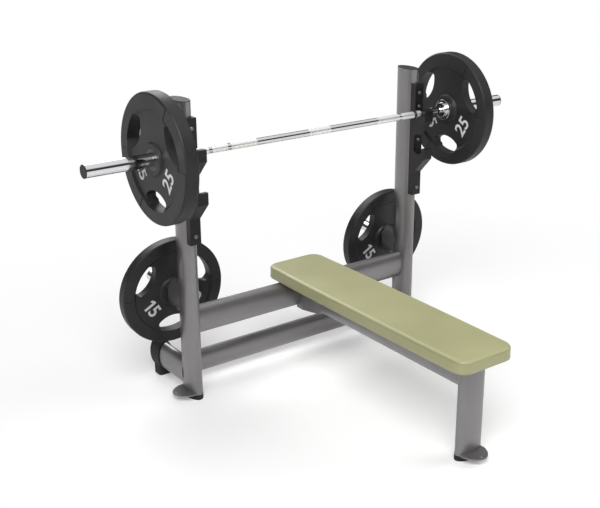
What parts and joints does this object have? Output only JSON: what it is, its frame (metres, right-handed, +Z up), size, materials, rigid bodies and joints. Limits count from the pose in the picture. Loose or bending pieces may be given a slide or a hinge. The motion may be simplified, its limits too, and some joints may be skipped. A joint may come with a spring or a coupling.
{
  "type": "olympic bench press",
  "caption": "Flat weight bench joined to an oval-tube barbell rack with two hook heights, racked bar with three-grip plates and rear plate storage horns.",
  "frame": {"origin": "middle of the footprint box on the floor", "axes": "+X along the barbell, +Y from the foot of the bench towards the storage horns, +Z up from the floor"},
  "size_m": [2.01, 1.4159, 1.2825],
  "materials": {
    "frame_paint": "satin metallic grey",
    "black_cap": "fine texture",
    "foot_rubber": "matt",
    "pad_cover": "soft satin upholstery",
    "pad_board": "black-stained plywood",
    "zinc_steel": "zinc plated",
    "black_screws": "black oxide",
    "hook_plastic": "satin black",
    "chrome": "polished",
    "bushing_bronze": "machined bronze",
    "plate_rubber": "fine satin rubber",
    "hub_steel": "turned and blackened"
  },
  "bodies": {
    "rack": {"upright_left": "frame_paint", "upright_right": "frame_paint", "base_tube_left": "frame_paint", "base_tube_right": "frame_paint", "floor_flange_left": "frame_paint", "floor_flange_right": "frame_paint", "horn_stub_left": "frame_paint", "horn_stub_right": "frame_paint", "upper_cross_tube": "frame_paint", "rear_floor_brace": "frame_paint", "front_leg": "frame_paint", "leg_floor_flange": "frame_paint", "bench_beam": "frame_paint", "beam_saddle": "frame_paint", "pad_bracket_rear": "frame_paint", "pad_bracket_front": "frame_paint", "upright_cap_left": "black_cap", "upright_cap_right": "black_cap", "horn_cap_left": "black_cap", "horn_cap_right": "black_cap", "leg_top_cap": "black_cap", "foot_plug_left": "foot_rubber", "foot_plug_right": "foot_rubber", "rear_boot_left": "foot_rubber", "rear_boot_right": "foot_rubber", "leg_foot_plug": "foot_rubber", "bench_pad": "pad_cover", "pad_board": "pad_board", "pad_screws": "zinc_steel", "pad_tee_nuts": "zinc_steel", "hook_screws_left": "black_screws", "hook_screws_right": "black_screws", "hook_rail_left": "hook_plastic", "hook_rail_right": "hook_plastic", "horn_left": "chrome", "horn_right": "chrome"},
    "barbell": {"bar_shaft": "chrome", "snap_ring_left": "zinc_steel", "snap_ring_right": "zinc_steel"},
    "turning_sleeve_left": {"sleeve_left": "chrome", "sleeve_bushings_left": "bushing_bronze", "sleeve_cap_left": "black_cap"},
    "bar_plate_left": {"plate_25_left": "plate_rubber", "plate_25_hub_left": "hub_steel"},
    "stored_plate_left": {"plate_15_left": "plate_rubber", "plate_15_hub_left": "hub_steel"},
    "turning_sleeve_right": {"sleeve_right": "chrome", "sleeve_bushings_right": "bushing_bronze", "sleeve_cap_right": "black_cap"},
    "bar_plate_right": {"plate_25_right": "plate_rubber", "plate_25_hub_right": "hub_steel"},
    "stored_plate_right": {"plate_15_right": "plate_rubber", "plate_15_hub_right": "hub_steel"}
  },
  "joints": [
    {"name": "bar_lift", "type": "slide", "parent": "rack", "child": "barbell", "axis": [0, 0, 1], "range_m": [0, 0.1]},
    {"name": "sleeve_spin_left", "type": "hinge", "parent": "barbell", "child": "turning_sleeve_left", "pos_m": [-0.655, 0.299, 1.04], "axis": [1, 0, 0], "continuous": true},
    {"name": "bar_plate_pull_left", "type": "slide", "parent": "turning_sleeve_left", "child": "bar_plate_left", "axis": [-1, 0, 0], "range_m": [0, 0.34]},
    {"name": "stored_plate_pull_left", "type": "slide", "parent": "rack", "child": "stored_plate_left", "axis": [0, 0.9966, 0.0819], "range_m": [0, 0.2]},
    {"name": "sleeve_spin_right", "type": "hinge", "parent": "barbell", "child": "turning_sleeve_right", "pos_m": [0.655, 0.299, 1.04], "axis": [1, 0, 0], "continuous": true},
    {"name": "bar_plate_pull_right", "type": "slide", "parent": "turning_sleeve_right", "child": "bar_plate_right", "axis": [1, 0, 0], "range_m": [0, 0.34]},
    {"name": "stored_plate_pull_right", "type": "slide", "parent": "rack", "child": "stored_plate_right", "axis": [0, 0.9966, 0.0819], "range_m": [0, 0.2]}
  ]
}
